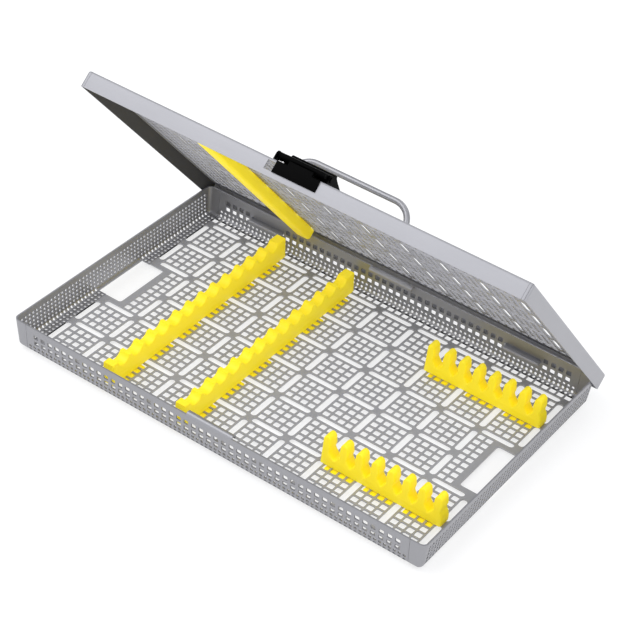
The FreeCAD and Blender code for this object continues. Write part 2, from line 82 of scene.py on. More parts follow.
def grid_places(us, vs):
    """Every pair of the two lists of positions, as rows."""
    return np.stack(np.meshgrid(us, vs, indexing="ij"), -1).reshape(-1, 2)


def filled(loops):
    """Triangles that fill an outline, less its holes, all facing the same way."""
    flat = np.array([p for loop in loops for p in loop], float)
    triangles = np.array(tessellate_polygon([[(u, v, 0.0) for u, v in loop] for loop in loops]))
    ahead = flat[triangles[:, 1]] - flat[triangles[:, 0]]
    across = flat[triangles[:, 2]] - flat[triangles[:, 0]]
    turned = ahead[:, 0] * across[:, 1] < ahead[:, 1] * across[:, 0]
    return flat, np.where(turned[:, None], triangles[:, ::-1], triangles)


def lay_tiles(kinds):
    """Flat sheet made of tiles: each kind has an outline, a hole or None, and its places.

    One tile is filled with triangles between outline and hole, then repeated by adding each
    place to its points. Points that meet are joined, so neighbouring tiles share their edges.
    """
    points, faces, base = [], [], 0
    for outline, hole, places in kinds:
        places = np.asarray(places, float).reshape(-1, 2)
        flat, triangles = filled([outline] if hole is None else [outline, hole])
        points.append((places[:, None, :] + flat[None]).reshape(-1, 2))
        starts = base + len(flat) * np.arange(len(places))
        faces.append((triangles[None] + starts[:, None, None]).reshape(-1, 3))
        base += len(flat) * len(places)
    points = np.vstack(points)
    keys, back = np.unique(np.round(points * 1000).astype(np.int64), axis=0, return_inverse=True)
    return keys / 1000.0, back.reshape(-1)[np.vstack(faces)]


def thicken(middle, normal, faces, thickness):
    """Closed sheet from a skin: the skin moved half the thickness along its normals to both sides,
    and a wall on every edge that only one triangle uses."""
    corners = middle[faces]
    facing = np.cross(corners[:, 1] - corners[:, 0], corners[:, 2] - corners[:, 0])
    turned = np.einsum("ij,ij->i", facing, normal[faces].sum(1)) < 0
    faces = np.where(turned[:, None], faces[:, ::-1], faces)
    count = len(middle)
    points = np.vstack([middle + normal * thickness / 2, middle - normal * thickness / 2])
    edges = np.vstack([faces[:, [0, 1]], faces[:, [1, 2]], faces[:, [2, 0]]])
    _, back, uses = np.unique(np.sort(edges, 1), axis=0, return_inverse=True, return_counts=True)
    rim = edges[uses[back.reshape(-1)] == 1]
    walls = np.hstack([rim[:, ::-1], rim + count])
    return points, [*faces.tolist(), *(faces[:, ::-1] + count).tolist(), *walls.tolist()]


def join(parts):
    """Several lots of points and faces as one."""
    points, faces, base = [], [], 0
    for part_points, part_faces in parts:
        points.append(part_points)
        faces += [[index + base for index in face] for face in part_faces]
        base += len(part_points)
    return np.vstack(points), faces


def add_mesh(name, geometry, material, body, replaced, sharp_above=35):
    """A new object at the origin from points in millimetres, smooth except at sharp bends. It rides
    on a body, takes its finish from a material slot and stands for the named CAD nodes."""
    points, faces = geometry
    mesh = bpy.data.meshes.new(name)
    mesh.from_pydata((np.asarray(points) * MM).tolist(), [], faces)
    mesh.validate()
    mesh.shade_smooth()
    mesh.set_sharp_from_angle(angle=math.radians(sharp_above))
    mesh.materials.append(material)
    made = bpy.data.objects.new(name, mesh)
    bpy.context.scene.collection.objects.link(made)
    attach(made, body)
    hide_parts(*replaced)
    return made


def steel(name, colour, roughness, grain_axis, grain_depth=0.12, metallic=0.8):
    """Satin stainless steel: long fine grain along one axis and faint cloudy patches."""
    material = bpy.data.materials.new(name)
    material.use_nodes = True
    nodes, links = material.node_tree.nodes, material.node_tree.links
    shader = nodes["Principled BSDF"]
    shader.inputs["Metallic"].default_value = metallic
    where = nodes.new("ShaderNodeTexCoord")
    stretch = nodes.new("ShaderNodeMapping")
    stretch.inputs["Scale"].default_value = [60 if axis == grain_axis else 2500 for axis in "XYZ"]
    grain = nodes.new("ShaderNodeTexNoise")
    grain.inputs["Scale"].default_value = 1.0
    grain.inputs["Detail"].default_value = 4.0
    links.new(where.outputs["Object"], stretch.inputs["Vector"])
    links.new(stretch.outputs["Vector"], grain.inputs["Vector"])
    clouds = nodes.new("ShaderNodeTexNoise")
    clouds.inputs["Scale"].default_value = 28.0
    clouds.inputs["Detail"].default_value = 3.0
    links.new(where.outputs["Object"], clouds.inputs["Vector"])
    shade = nodes.new("ShaderNodeMix")
    shade.data_type = "RGBA"
    shade.inputs["A"].default_value = (*[c * 0.93 for c in colour], 1)
    shade.inputs["B"].default_value = (*colour, 1)
    links.new(clouds.outputs["Fac"], shade.inputs["Factor"])
    links.new(shade.outputs["Result"], shader.inputs["Base Color"])
    rough = nodes.new("ShaderNodeMapRange")
    rough.inputs["To Min"].default_value = roughness - 0.06
    rough.inputs["To Max"].default_value = roughness + 0.06
    links.new(grain.outputs["Fac"], rough.inputs["Value"])
    links.new(rough.outputs["Result"], shader.inputs["Roughness"])
    bump = nodes.new("ShaderNodeBump")
    bump.inputs["Strength"].default_value = grain_depth
    bump.inputs["Distance"].default_value = 0.00005
    links.new(grain.outputs["Fac"], bump.inputs["Height"])
    links.new(bump.outputs["Normal"], shader.inputs["Normal"])
    return material


def punched_tiles(columns, lines_x, lines_y, slot_x, slot_y, bare, left_out):
    """Tiles of the punched pattern. columns are the middles of the tile columns, lines_x and
    lines_y the slot lines, slot_x and slot_y the middles of the slots that run along x and y.
    bare(x, y) tells which tiles stay plain and left_out(x, y) which aren't laid."""
    places = grid_places(columns, np.arange(-outer_row, outer_row + 0.1, pitch))
    places = places[~left_out(places[:, 0], places[:, 1])]
    on_x = np.isin(places[:, 0], lines_x) & (np.abs(places[:, 1]) <= max(lines_y))
    on_y = np.isin(places[:, 1], lines_y) & (np.abs(places[:, 0]) <= max(lines_x))
    to_slot_y = np.abs(places[:, None, :] - slot_y[None])
    to_slot_x = np.abs(places[:, None, :] - slot_x[None])
    in_slot_y = ((to_slot_y[:, :, 0] < 1) & (to_slot_y[:, :, 1] < 8)).any(1)
    in_slot_x = ((to_slot_x[:, :, 1] < 1) & (to_slot_x[:, :, 0] < 8)).any(1)
    crossings = places[on_x & on_y].tolist()
    plain = bare(places[:, 0], places[:, 1])
    tiles = ~(on_x & on_y) & ~in_slot_y & ~in_slot_x
    tile = rectangle(pitch, pitch)
    h = pitch / 2
    steps = (-10, -5, 0, 5, 10)
    along = [(0, -cell / 2), *[(h, v) for v in steps], (0, cell / 2), *[(-h, v) for v in steps[::-1]]]
    turn = np.linspace(0, np.pi, 7)
    ring = ([(slot_half * math.cos(a), slot_end + slot_half * math.sin(a)) for a in turn]
            + [(-slot_half * math.cos(a), -slot_end - slot_half * math.sin(a)) for a in turn])
    kinds = [(tile, rectangle(square, square, square_corner), places[tiles & ~plain]),
             (tile, None, places[tiles & plain]),
             (along, ring, slot_y),
             ([(v, -u) for u, v in along], [(v, -u) for u, v in ring], slot_x)]
    taken = {tuple(place) for place in np.vstack([slot_x, slot_y]).tolist()}
    for du, dv in ((0, 1), (0, -1), (1, 0), (-1, 0)):
        free = [p for p in crossings if (p[0] + du * cell / 2, p[1] + dv * cell / 2) not in taken]
        wedge = [(0, 0), ((du - dv) * h, (du + dv) * h), ((du + dv) * h, (dv - du) * h)]
        kinds.append((wedge, None, free))
    return [kind for kind in kinds if len(kind[2])]


def flat_sheet(kinds, reach, height):
    """A flat level sheet from tiles, cut to the given reach from the middle of the tray."""
    flat, faces = lay_tiles(kinds)
    flat = np.clip(flat, (-reach[0], -reach[1]), reach)
    middle = np.column_stack([flat[:, 0], flat[:, 1] + tray_y, np.full(len(flat), height)])
    return thicken(middle, np.tile([0.0, 0.0, 1.0], (len(flat), 1)), faces, sheet)


def beside_finger(x, y):
    """Whether a tile lies in the plain band round a finger opening."""
    return (np.abs(x) > finger_tiles) & (np.abs(y) < finger_half + pitch)


def on_finger(x, y):
    """Whether a tile lies where the piece with the finger opening goes."""
    return (np.abs(x) > finger_tiles) & (np.abs(y) < finger_half + 1)


def finger_piece(side):
    """The plain piece of floor round a finger opening, as one C-shaped tile."""
    near, h, c = finger_inner, finger_half, finger_corner
    inner, outer, half = 112.5, 127.5, 22.5
    edge = [(outer - pitch, -half), (inner + pitch, -half),
            *[(inner, v) for v in np.arange(-half, half + 0.1, pitch)],
            (inner + pitch, half), (outer - pitch, half)]
    cut = [(outer, h), (near + c, h), (near + 0.3 * c, h - 0.3 * c), (near, h - c),
           (near, c - h), (near + 0.3 * c, 0.3 * c - h), (near + c, -h), (outer, -h)]
    return [(side * u, v) for u, v in [(outer, -half), *edge, (outer, half), *cut]], None, [(0, 0)]


steel_floor = steel("floor_steel", (0.40, 0.40, 0.42), 0.45, "X", metallic=0.35)
lines_x = np.arange(-125, 126, cell)
lines_y = np.arange(-75, 76, cell)
slots_y = grid_places(lines_x, lines_y[:-1] + cell / 2)
slots_x = grid_places(lines_x[:-1] + cell / 2, lines_y)
slots_y = slots_y[(np.abs(slots_y[:, 0]) < 124) | (np.abs(slots_y[:, 1]) > 25)]
slots_x = slots_x[(np.abs(slots_x[:, 0]) < 112) | (np.abs(slots_x[:, 1]) > 1)]
floor_tiles = punched_tiles(np.arange(-125, 125.1, pitch), lines_x, lines_y, slots_x, slots_y,
                            beside_finger, on_finger)
floor_sheet = flat_sheet(floor_tiles + [finger_piece(-1), finger_piece(1)],
                         (floor_reach_x, floor_reach_y), floor_low.z + sheet / 2)
add_mesh("tray_floor_punched", floor_sheet, steel_floor, "tray",
         ["tray_floor", "tray_floor_left", "tray_floor_right"])

# Tray walls: the same sheet folded up on a 2 mm radius and leaning out a little. The end walls are
# punched all over with small round holes and wrap round the corners. The long walls butt against
# them, have squares above small round holes, and a rolled lip in the middle of the rim.

rim_low, rim_high = (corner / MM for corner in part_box("tray_right_wall"))
flap_length = 9.0
# Outline of the rim, its height, where the sheet goes from it (-1 is down) and how far, the bend's
# radius at the sheet's middle, how far the sides lean in, and the corners' radius with its growth
tray_pan = {"x": (-rim_high.x, rim_high.x), "y": (rim_low.y, rim_high.y), "rim": rim_high.z, "away": -1,
            "height": rim_high.z - floor_low.z, "bend": 2.0 + sheet / 2, "lean": 1.5,
            "corner": 3.6, "drift": 0.85}
seam_x = rim_high.x - flap_length


def fold(pan, along):
    """Section of a sheet folded at its edge, at distances measured from the rim: straight with a
    lean, a quarter circle, then flat. Gives how far the middle lies inside the rim's outline, its
    depth from the rim, the outward and downward parts of its normal, and the corner's inset."""
    along = np.asarray(along, float)
    straight = pan["height"] - pan["bend"] - sheet / 2
    turn = np.clip((along - straight) / pan["bend"], 0, np.pi / 2)
    depth = np.minimum(along, straight) + pan["bend"] * np.sin(turn)
    beyond = np.maximum(along - straight - pan["bend"] * np.pi / 2, 0)
    inset = sheet / 2 + pan["lean"] * depth / pan["height"] + pan["bend"] * (1 - np.cos(turn)) + beyond
    corner = pan["corner"] + pan["drift"] * depth / pan["height"]
    return inset, depth, np.cos(turn), np.sin(turn), corner


def fold_lines(pan, steps):
    """Distances from the rim at which the straight part ends and the bend is divided."""
    straight = pan["height"] - pan["bend"] - sheet / 2
    return np.linspace(straight, straight + pan["bend"] * np.pi / 2, steps + 1)


def side_skin(pan, flat, side):
    """Places sheet coordinates (along the side, distance from the rim) on one side of a pan.
    side is (1, 0) for the right, (0, -1) for the front and so on."""
    inset, depth, out, down, corner = fold(pan, flat[:, 1])
    outward = side[0] + side[1]
    run, across = (1, 0) if side[0] else (0, 1)
    low, high = pan["xy"[run]]
    limit = (high - low) / 2 - corner
    middle = np.zeros((len(flat), 3))
    middle[:, run] = (low + high) / 2 + np.clip(flat[:, 0], -limit, limit)
    middle[:, across] = pan["xy"[across]][outward > 0] - outward * inset
    middle[:, 2] = pan["rim"] + pan["away"] * depth
    normal = np.zeros((len(flat), 3))
    normal[:, across] = outward * out
    normal[:, 2] = pan["away"] * down
    return middle, normal


def corner_skin(pan, side_x, side_y, downs):
    """A rounded corner: the fold's section swept through a quarter turn about an upright line."""
    turns = np.linspace(0, np.pi / 2, 9)
    turn, along = (a.reshape(-1) for a in np.meshgrid(turns, downs, indexing="ij"))
    inset, depth, out, down, corner = fold(pan, along)
    reach = corner - inset
    middle = np.column_stack([pan["x"][side_x > 0] + side_x * (reach * np.cos(turn) - corner),
                              pan["y"][side_y > 0] + side_y * (reach * np.sin(turn) - corner),
                              pan["rim"] + pan["away"] * depth])
    normal = np.column_stack([side_x * out * np.cos(turn), side_y * out * np.sin(turn),
                              pan["away"] * down])
    index = np.arange(len(turn)).reshape(len(turns), len(downs))
    a, b, c, d = (i.ravel() for i in (index[:-1, :-1], index[1:, :-1], index[1:, 1:], index[:-1, 1:]))
    return middle, normal, np.vstack([np.column_stack([a, b, c]), np.column_stack([a, c, d])])


def band(edges, v0, v1, kind, hole=None, steps=1):
    """One row of tiles across a side, between two distances from the rim. kind has one entry for
    each tile: 1 for a hole, 0 for plain and -1 for none. Their short sides have steps parts."""
    side = np.linspace(v0 - v1, v1 - v0, steps + 1) / 2
    widths = np.round(np.diff(edges), 6)
    middles = (np.asarray(edges)[:-1] + np.asarray(edges)[1:]) / 2
    made = []
    for width in np.unique(widths):
        outline = [(width / 2, v) for v in side] + [(-width / 2, v) for v in side[::-1]]
        for value in (0, 1):
            chosen = middles[(widths == width) & (np.asarray(kind) == value)]
            if len(chosen):
                made.append((outline, hole if value else None, [(u, (v0 + v1) / 2) for u in chosen]))
    return made


def plain_strip(ends, downs):
    """A plain strip of a side between two ends, with a row of tiles from each distance to the next."""
    return lay_tiles([tile for v0, v1 in zip(downs[:-1], downs[1:]) for tile in band(ends, v0, v1, [0])])


def round_hole(radius, count):
    """Points round a circle."""
    return [(radius * math.cos(a), radius * math.sin(a)) for a in np.arange(count) * 2 * np.pi / count]


# Painted shade: the walls are the floor's sheet, but their base colour is set darker than the floor's to
# stand in for the shade on the walls.
steel_wall = steel("wall_steel_painted_shade", (0.34, 0.34, 0.36), 0.4, "X", metallic=0.7)
hole_radius = 0.95
hole_step = 3.0
end_row = 2.63
end_first = 4.5
end_last = 24.3
end_half = 84.0
wall_hole = round_hole(hole_radius, 12)


def end_wall(side):
    """An end wall with eight rows of round holes, the finger opening and two flaps."""
    columns = np.arange(-27, 28) * hole_step
    edges = np.concatenate([[-end_half], columns - hole_step / 2, [columns[-1] + hole_step / 2, end_half]])
    plain = np.zeros(len(columns) + 2)
    at_finger = np.concatenate([[False], np.abs(columns) < finger_half, [False]])
    rows = end_first + end_row * np.arange(8)
    kinds = band(edges, 0, rows[0] - end_row / 2, plain)
    for number, row in enumerate(rows):
        kind = np.concatenate([[0], np.ones(len(columns)), [0]])
        kind[at_finger] = 1 if number < 5 else (0 if number == 5 else -1)
        kinds += band(edges, row - end_row / 2, row + end_row / 2, kind, wall_hole, 3)
    kinds += band(edges, rows[-1] + end_row / 2, end_last, np.where(at_finger, -1, plain))
    flat, faces = lay_tiles(kinds)
    parts = [thicken(*side_skin(tray_pan, flat, (side, 0)), faces, sheet)]
    downs = np.concatenate([[0, 8], fold_lines(tray_pan, 9)])
    ends = np.sort([side * seam_x, side * (rim_high.x - tray_pan["corner"])])
    flat, faces = plain_strip(ends, downs)
    for side_y in (-1, 1):
        parts.append(thicken(*corner_skin(tray_pan, side, side_y, downs), sheet))
        parts.append(thicken(*side_skin(tray_pan, flat, (0, side_y)), faces, sheet))
    return join(parts)


for side, node in ((-1, "tray_left_wall"), (1, "tray_right_wall")):
    add_mesh(node + "_punched", end_wall(side), steel_wall, "tray", [node])

seam_gap = 0.15
lip_top = (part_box("tray_front_wall")[1] / MM).z
lip_half = 15.0
lip_radius = 2.2
lip_begin = 1.2
square_width = 3.1
square_height = 2.9
upper_row = (3.85, 8.2)
lower_row = (8.2, 12.6)
round_rows = (12.6, 15.2, 17.8, 20.3)
hinge_slot_size = (24.4, 3.4)
hinge_slot_down = 8.1
hinge_slot_x = 90.0
hinge_plate = 25.0


def lip_skin(side):
    """The rolled lip: more than half of a tube, whose outer side goes on from the wall."""
    turns = np.radians(np.linspace(180, -25, 14))
    turn, along = (a.reshape(-1) for a in np.meshgrid(turns, [-lip_half, lip_half], indexing="ij"))
    reach = lip_radius - sheet / 2
    edge = tray_pan["y"][side > 0] - side * lip_radius
    middle = np.column_stack([along, edge - side * reach * np.cos(turn),
                              lip_top - lip_radius + reach * np.sin(turn)])
    normal = np.column_stack([along * 0, -side * np.cos(turn), np.sin(turn)])
    a = np.arange(0, len(turn) - 2, 2)
    faces = np.vstack([np.column_stack([a, a + 1, a + 3]), np.column_stack([a, a + 3, a + 2])])
    return middle, normal, faces


def long_wall(side):
    """A long wall between the flaps: two rows of squares and three of round holes. The rear one has
    the two slots for the hinge tongues."""
    end = seam_x - seam_gap
    squares = np.arange(-120, 120.1, pitch)
    edges = np.concatenate([[-end], squares - pitch / 2, [squares[-1] + pitch / 2, end]])
    kinds = band([-end, -lip_half, lip_half, end], 0, lip_begin, [0, -1, 0])
    kinds += band([-end, -lip_half, lip_half, end], lip_begin, upper_row[0], [0, 0, 0])
    at_hinge = (np.abs(np.abs(squares) - hinge_slot_x) < (hinge_plate - pitch / 2) / 2) & (side > 0)
    kind = np.concatenate([[0], np.where(at_hinge, -1, 1), [0]])
    for v0, v1 in (upper_row, lower_row):
        kinds += band(edges, v0, v1, kind, rectangle(square_width, square_height, 0.4))
    if side > 0:
        plate = rectangle(hinge_plate, lower_row[1] - upper_row[0])
        down = (lower_row[1] + upper_row[0]) / 2
        hole = [(u, v + hinge_slot_down - down) for u, v in rectangle(*hinge_slot_size, 0.8)]
        kinds += [(plate, hole, [(-hinge_slot_x, down), (hinge_slot_x, down)])]
    rounds = np.arange(-124.5, 124.6, hole_step)
    edges = np.concatenate([[-end], rounds - hole_step / 2, [rounds[-1] + hole_step / 2, end]])
    kind = np.concatenate([[0], np.ones(len(rounds)), [0]])
    for v0, v1 in zip(round_rows[:-1], round_rows[1:]):
        kinds += band(edges, v0, v1, kind, wall_hole, 3)
    flat, faces = lay_tiles(kinds)
    return join([thicken(*side_skin(tray_pan, flat, (0, side)), faces, sheet),
                 thicken(*lip_skin(side), sheet)])


for side, node in ((-1, "tray_front_wall"), (1, "tray_rear_wall")):
    add_mesh(node + "_punched", long_wall(side), steel_wall, "tray", [node])

# Lid: a shallow pan of the same sheet, drawn shut and swung open about the hinge line. Its top has
# the floor's pattern, with more squares in the margins, plain round the handle's feet and the latch.

hinge = next(joint for joint in frame["joints"] if joint["name"] == "lid_hinge")
hinge_y, hinge_z = (value / MM for value in hinge["pos_m"][1:])
open_turn = math.radians(-hinge["range_deg"][0])
lid_half_x = 137.8
lid_front = tray_y - 88.5
lid_rear = tray_y + 89.2
lid_top = 22.5
lid_pan = {"x": (-lid_half_x, lid_half_x), "y": (lid_front, lid_rear), "rim": lid_top - 9.5, "away": 1,
           "height": 9.5, "bend": 0.95, "lean": 0.0, "corner": 1.6, "drift": 0.0}
lid_seam_x = lid_half_x - 2.4
panel_margin = 1.4
lid_columns = 132.5
lid_rows = 82.5
handle_feet = (37.5, -25.0)
hook_slot = (11.2, 5.4)
hook_slot_y = -81.9
patch_half = 20.0
patch_rear = -77.5


def swung(geometry):
    """Turns points of the shut lid to the rest pose, about the hinge line."""
    points, faces = geometry
    dy, dz = points[:, 1] - hinge_y, points[:, 2] - hinge_z
    c, s = math.cos(open_turn), math.sin(open_turn)
    return np.column_stack([points[:, 0], hinge_y + dy * c + dz * s, hinge_z - dy * s + dz * c]), faces


def by_handle(x, y):
    """Whether a tile of the lid stays plain, round the handle's feet."""
    return (np.abs(np.abs(x) - handle_feet[0]) < 6) & (np.abs(y - handle_feet[1]) < 1)


def at_latch(x, y):
    """Whether a tile of the lid lies where the plain patch by the latch goes."""
    return (np.abs(x) < patch_half) & (y < patch_rear)


def lid_panel():
    """The lid's flat top as tiles, with plain strips at its edges."""
    lines = np.arange(-112.5, 113, cell)
    along_y = grid_places(lines, lines_y[:-1] + cell / 2)
    along_x = grid_places(lines[:-1] + cell / 2, lines_y)
    columns = np.arange(-lid_columns, lid_columns + 0.1, pitch)
    kinds = punched_tiles(columns, lines, lines_y, along_x, along_y, by_handle, at_latch)
    front, rear = lid_front + panel_margin - tray_y, lid_rear - panel_margin - tray_y
    side = lid_half_x - panel_margin
    rows = np.arange(-lid_rows, lid_rows + 0.1, pitch)
    across = np.append(columns - pitch / 2, lid_columns + pitch / 2)
    beside = across[across >= patch_half]
    for s in (-1, 1):
        end_strip = [(s * side, v) for v in rows] + [(s * across[-1], v) for v in rows[::-1]]
        front_strip = ([(s * u, rows[0]) for u in [side, *beside[::-1]]]
                       + [(s * patch_half, front), (s * side, front)])
        kinds += [(end_strip, None, [(0, 0)]), (front_strip, None, [(0, 0)])]
    patch = [(-patch_half, front), (-patch_half, rows[0]),
             *[(u, patch_rear) for u in across if abs(u) <= patch_half],
             (patch_half, rows[0]), (patch_half, front)]
    slot = [(u, v + hook_slot_y) for u, v in rectangle(*hook_slot, 0.6)]
    rear_strip = [(u, rows[-1]) for u in [-side, *across, side]] + [(side, rear), (-side, rear)]
    kinds += [(patch, slot, [(0, 0)]), (rear_strip, None, [(0, 0)])]
    return flat_sheet(kinds, (side, rear), lid_top - sheet / 2)


steel_lid = steel("lid_steel", (0.38, 0.38, 0.405), 0.45, "X", metallic=0.4)
add_mesh("lid_panel_punched", swung(lid_panel()), steel_lid, "lid", ["lid_panel"])

# Lid flanges: the four turned-down sides. The end ones go round the corners and meet the front and
# rear ones at thin seams. The front one has the window for the latch's plate.

window = (-18.5, 13.5)
window_down = (2.9, 8.1)


def lid_end_flange(side):
    """A flange at an end of the lid, with its corners."""
    downs = np.concatenate([[0], fold_lines(lid_pan, 6)])
    half = (lid_rear - lid_front) / 2
    flat, faces = plain_strip([-half, half], downs)
    parts = [thicken(*side_skin(lid_pan, flat, (side, 0)), faces, sheet)]
    ends = np.sort([side * lid_seam_x, side * (lid_half_x - lid_pan["corner"])])
    flat, faces = plain_strip(ends, downs)
    for side_y in (-1, 1):
        parts.append(thicken(*corner_skin(lid_pan, side, side_y, downs), sheet))
        parts.append(thicken(*side_skin(lid_pan, flat, (0, side_y)), faces, sheet))
    return join(parts)


def lid_long_flange(side):
    """A flange along the lid's front or rear."""
    downs = np.concatenate([[0, window_down[0]], fold_lines(lid_pan, 6)])
    end = lid_seam_x - seam_gap
    kinds = []
    for v0, v1 in zip(downs[:-1], downs[1:]):
        gap = -1 if side < 0 and v0 >= window_down[0] - 0.01 and v1 <= window_down[1] + 0.01 else 0
        kinds += band([-end, *window, end], v0, v1, [0, gap, 0])
    flat, faces = lay_tiles(kinds)
    return thicken(*side_skin(lid_pan, flat, (0, side)), faces, sheet)


def paint_inner_shade(material, inside_x, factor):
    """Paints shade into the base colour: multiplies it by a factor on the upright planes at the given
    distance from the middle along x, so the inner sides of both end flanges look shaded."""
    nodes, links = material.node_tree.nodes, material.node_tree.links
    base = nodes["Principled BSDF"].inputs["Base Color"]
    where = nodes.new("ShaderNodeTexCoord")
    parts = nodes.new("ShaderNodeSeparateXYZ")
    links.new(where.outputs["Object"], parts.inputs["Vector"])
    away = nodes.new("ShaderNodeMath")
    away.operation = "ABSOLUTE"
    links.new(parts.outputs["X"], away.inputs[0])
    inside = nodes.new("ShaderNodeMath")
    inside.operation = "COMPARE"
    inside.inputs[1].default_value = inside_x * MM
    inside.inputs[2].default_value = 0.08 * MM
    links.new(away.outputs["Value"], inside.inputs[0])
    painted_shade = nodes.new("ShaderNodeMix")
    painted_shade.data_type = "RGBA"
    painted_shade.blend_type = "MULTIPLY"
    painted_shade.inputs["B"].default_value = (factor, factor, factor, 1)
    links.new(inside.outputs["Value"], painted_shade.inputs["Factor"])
    links.new(base.links[0].from_socket, painted_shade.inputs["A"])
    links.new(painted_shade.outputs["Result"], base)


# Painted shade: the end flanges' inner sides have their base colour multiplied by 0.2 to stand in for the
# shade on them.
steel_flange = steel("flange_steel_painted_shade", (0.38, 0.38, 0.405), 0.45, "Y", metallic=0.4)
paint_inner_shade(steel_flange, lid_half_x - sheet, 0.2)
for side, node in ((-1, "lid_left_flange"), (1, "lid_right_flange")):
    add_mesh(node + "_folded", swung(lid_end_flange(side)), steel_flange, "lid", [node])
for side, node in ((-1, "lid_front_flange"), (1, "lid_rear_flange")):
    add_mesh(node + "_folded", swung(lid_long_flange(side)), steel_lid, "lid", [node])

# Handle: a polished round wire bent to a U, welded to the lid with a small bead at each foot.

wire_radius = 1.75
handle_half = handle_feet[0]
handle_rise = 18.0
handle_bend = 12.0
handle_y = tray_y + handle_feet[1]
bead = 0.9


def tube(path, radii, count):
    """A round tube along a path that keeps to a plane across y: each ring stands square to it."""
    path = np.asarray(path, float)
    ahead = np.gradient(path, axis=0)
    ahead /= np.linalg.norm(ahead, axis=1, keepdims=True)
    side = np.array([0.0, 1.0, 0.0])
    up = np.cross(ahead, side)
    angle = np.arange(count) * 2 * np.pi / count
    ring = np.cos(angle)[None, :, None] * side + np.sin(angle)[None, :, None] * up[:, None, :]
    points = (path[:, None, :] + ring * np.asarray(radii, float)[:, None, None]).reshape(-1, 3)
    faces = []
    for row in range(len(path) - 1):
        for k in range(count):
            a, b = row * count + k, row * count + (k + 1) % count
            faces.append([a, b, b + count, a + count])
    faces.append(list(range(count))[::-1])
    faces.append([(len(path) - 1) * count + k for k in range(count)])
    return points, faces


def handle():
    """The wire's path up, round, across and down, thicker for a moment at each welded foot."""
    inner = handle_half - handle_bend
    rises = [0, 0.25, 0.55, 0.9, 1.5, handle_rise - handle_bend]
    bend = np.linspace(0, np.pi / 2, 13)[1:]
    left = [(-handle_half, z) for z in rises]
    left += [(-inner - handle_bend * math.cos(a), handle_rise - handle_bend * (1 - math.sin(a)))
             for a in bend]
    heights = np.array([z for _, z in left])
    radii = wire_radius + bead * np.exp(-(heights / 0.6) ** 2)
    path = [(x, handle_y, lid_top + z) for x, z in left + [(-x, z) for x, z in left[::-1]]]
    return tube(path, np.concatenate([radii, radii[::-1]]), 20)


steel_wire = steel("wire_steel", (0.36, 0.36, 0.38), 0.4, "X", grain_depth=0.05)
add_mesh("handle_wire", swung(handle()), steel_wire, "lid", ["lid_handle"])

# Long silicone bars: moulded in bright yellow, standing on the floor from front to rear. Their tops
# are a row of round hollows between narrow lands, and feet through the slots hold them down.

floor_top = floor_low.z + sheet
bar_width = 8.0
bar_top_width = 6.8
bar_height = 13.5
bar_valley = 3.6
bar_half = 79.0
front_land = 4.8
bump_land = 2.2
rear_land = 8.0
bumps = 14
foot = (17.5, 12.5, 1.6)
neck = 3.0
moulded_sharp = 50


def outline_normals(outline):
    """Outward normals of a closed outline that runs anticlockwise."""
    ahead = np.roll(outline, -1, axis=0) - outline
    ahead /= np.linalg.norm(ahead, axis=1, keepdims=True)
    both = ahead + np.roll(ahead, 1, axis=0)
    both /= np.linalg.norm(both, axis=1, keepdims=True)
    return np.column_stack([both[:, 1], -both[:, 0]])


def soft_block(outline, half_width, rounding, place):
    """A moulded block: a closed outline stretched to both sides, with rounded edges.

    Towards a side the outline shrinks along its normals by rounding times one less the cosine of
    an angle, while the distance from the middle grows with its sine. half_width may be a number
    or a function of the outline's points. place turns (outline point, distance) into a point.
    """
    outline = np.asarray(outline, float)
    normals = outline_normals(outline)
    halves = half_width(outline) if callable(half_width) else np.full(len(outline), half_width)
    rings = []
    for turn, side in zip(np.radians([-90, -60, -30, 0, 0, 30, 60, 90]), (-1, -1, -1, -1, 1, 1, 1, 1)):
        ring = outline - normals * rounding * (1 - math.cos(turn))
        rings.append(place(ring, side * (halves - rounding) + rounding * math.sin(turn)))
    count = len(outline)
    faces = []
    for row in range(len(rings) - 1):
        for k in range(count):
            a, b = row * count + k, row * count + (k + 1) % count
            faces.append([a, b, b + count, a + count])
    cap = filled([(outline - normals * rounding).tolist()])[1]
    far_cap = cap + (len(rings) - 1) * count
    return np.vstack(rings), [*faces, *cap[:, ::-1].tolist(), *far_cap.tolist()]


def rounded_outline(width, height, corner, steps=5):
    """A rectangle with round corners, anticlockwise."""
    points = []
    for quarter, (su, sv) in enumerate(((1, 1), (-1, 1), (-1, -1), (1, -1))):
        for angle in np.radians(np.linspace(90 * quarter, 90 * quarter + 90, steps)):
            points.append((su * (width / 2 - corner) + corner * math.cos(angle),
                           sv * (height / 2 - corner) + corner * math.sin(angle)))
    return points


def feet(places, along_x, pad, stem):
    """Pads beyond the sheet, and the stems that reach them through the slots. pad and stem are
    pairs of heights."""
    parts = []
    for size, (low, high) in ((foot[:2], pad), ((foot[0], neck), stem)):
        outline = rounded_outline(*(size if along_x else size[::-1]), 1.2)
        for x, y in places:
            parts.append(soft_block(outline, (high - low) / 2, 0.3, lambda ring, away: np.column_stack(
                [x + ring[:, 0], y + ring[:, 1], (low + high) / 2 + away])))
    return parts


def bar_outline():
    """Side view of a long bar as (y, z): a flat bottom, a flat block at each end and round hollows
    between narrow lands along the top."""
    step = (2 * bar_half - front_land - rear_land + bump_land) / (bumps - 1)
    hollow = step - bump_land
    radius = (bar_valley ** 2 + hollow ** 2 / 4) / (2 * bar_valley)
    reach = math.asin(hollow / 2 / radius)
    points = [(-bar_half, 0.0), (bar_half, 0.0), (bar_half - 0.3, bar_height)]
    for number in range(bumps - 2, -1, -1):
        middle = -bar_half + front_land + hollow / 2 + number * step
        for angle in np.linspace(reach, -reach, 11):
            points.append((middle + radius * math.sin(angle),
                           bar_height - bar_valley + radius * (1 - math.cos(angle))))
    return points + [(0.3 - bar_half, bar_height)]


